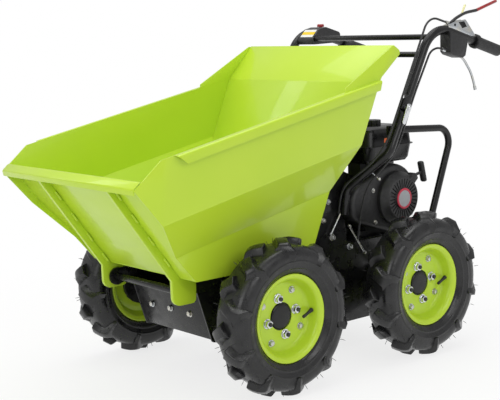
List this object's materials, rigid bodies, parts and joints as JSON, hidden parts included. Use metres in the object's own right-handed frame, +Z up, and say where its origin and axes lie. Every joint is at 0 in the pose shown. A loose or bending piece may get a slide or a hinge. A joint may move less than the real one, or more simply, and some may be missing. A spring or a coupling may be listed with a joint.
{
  "type": "site dumper",
  "caption": "Walk-behind site dumper: a folded sheet skip on a powered wheeled chassis tips forward about its front shaft; engine and handlebars at the rear.",
  "frame": {"origin": "centre of the bounding box in plan, on the ground under the wheels", "axes": "+X forward, towards the skip nose, +Y to the left of the machine, +Z up"},
  "size_m": [1.36, 0.73, 0.9873],
  "materials": {
    "green_paint": "gloss",
    "black_paint": "gloss",
    "black_plastic": "satin",
    "engine_metal": "satin",
    "tyre_rubber": "matte",
    "grip_rubber": "matte",
    "zinc": "satin",
    "red_plastic": "gloss"
  },
  "bodies": {
    "chassis": {"air_cleaner": "black_plastic", "axle_tube_front": "black_paint", "axle_tube_rear": "black_paint", "belly_plate": "black_paint", "belt_cover": "black_plastic", "cable_clutch": "black_plastic", "cable_throttle": "black_plastic", "console": "black_plastic", "console_knob": "red_plastic", "crossbar_lower": "black_paint", "crossbar_upper": "black_paint", "engine_block": "engine_metal", "engine_deck": "black_paint", "engine_guard_left": "black_paint", "engine_guard_right": "black_paint", "fan_housing": "black_plastic", "front_plate": "black_paint", "fuel_cap": "black_plastic", "fuel_tank": "black_paint", "gearbox": "engine_metal", "grip_left": "grip_rubber", "grip_right": "grip_rubber", "hand_lever": "black_plastic", "handle_lower_left": "black_paint", "handle_lower_right": "black_paint", "handle_upper_left": "black_paint", "handle_upper_right": "black_paint", "lever_bracket": "zinc", "lever_sleeve": "red_plastic", "muffler_guard": "black_paint", "park_lever": "zinc", "recoil_starter": "black_plastic", "shift_lever": "black_plastic", "side_plate_left": "black_paint", "side_plate_right": "black_paint", "skip_rest": "black_paint", "starter_grip": "black_plastic", "throttle_box": "black_plastic", "tower_plate": "black_paint"},
    "skip": {"skip_back": "green_paint", "skip_chute": "green_paint", "skip_ear_left": "green_paint", "skip_ear_right": "green_paint", "skip_floor": "green_paint", "skip_side_left": "green_paint", "skip_side_right": "green_paint", "skip_tip_shaft": "zinc"},
    "wheel_front_left": {"hub_front_left": "black_paint", "rim_front_left": "green_paint", "tyre_front_left": "tyre_rubber"},
    "wheel_front_right": {"hub_front_right": "black_paint", "rim_front_right": "green_paint", "tyre_front_right": "tyre_rubber"},
    "wheel_rear_left": {"hub_rear_left": "black_paint", "rim_rear_left": "green_paint", "tyre_rear_left": "tyre_rubber"},
    "wheel_rear_right": {"hub_rear_right": "black_paint", "rim_rear_right": "green_paint", "tyre_rear_right": "tyre_rubber"}
  },
  "joints": [
    {"name": "skip_tip", "type": "hinge", "parent": "chassis", "child": "skip", "pos_m": [0.4375, 0, 0.272], "axis": [0, 1, 0], "range_deg": [0, 80]},
    {"name": "wheel_front_left_roll", "type": "hinge", "parent": "chassis", "child": "wheel_front_left", "pos_m": [0.25, 0.314, 0.203], "axis": [0, 1, 0], "continuous": true},
    {"name": "wheel_front_right_roll", "type": "hinge", "parent": "chassis", "child": "wheel_front_right", "pos_m": [0.25, -0.314, 0.203], "axis": [0, 1, 0], "continuous": true},
    {"name": "wheel_rear_left_roll", "type": "hinge", "parent": "chassis", "child": "wheel_rear_left", "pos_m": [-0.274, 0.314, 0.203], "axis": [0, 1, 0], "continuous": true},
    {"name": "wheel_rear_right_roll", "type": "hinge", "parent": "chassis", "child": "wheel_rear_right", "pos_m": [-0.274, -0.314, 0.203], "axis": [0, 1, 0], "continuous": true}
  ]
}
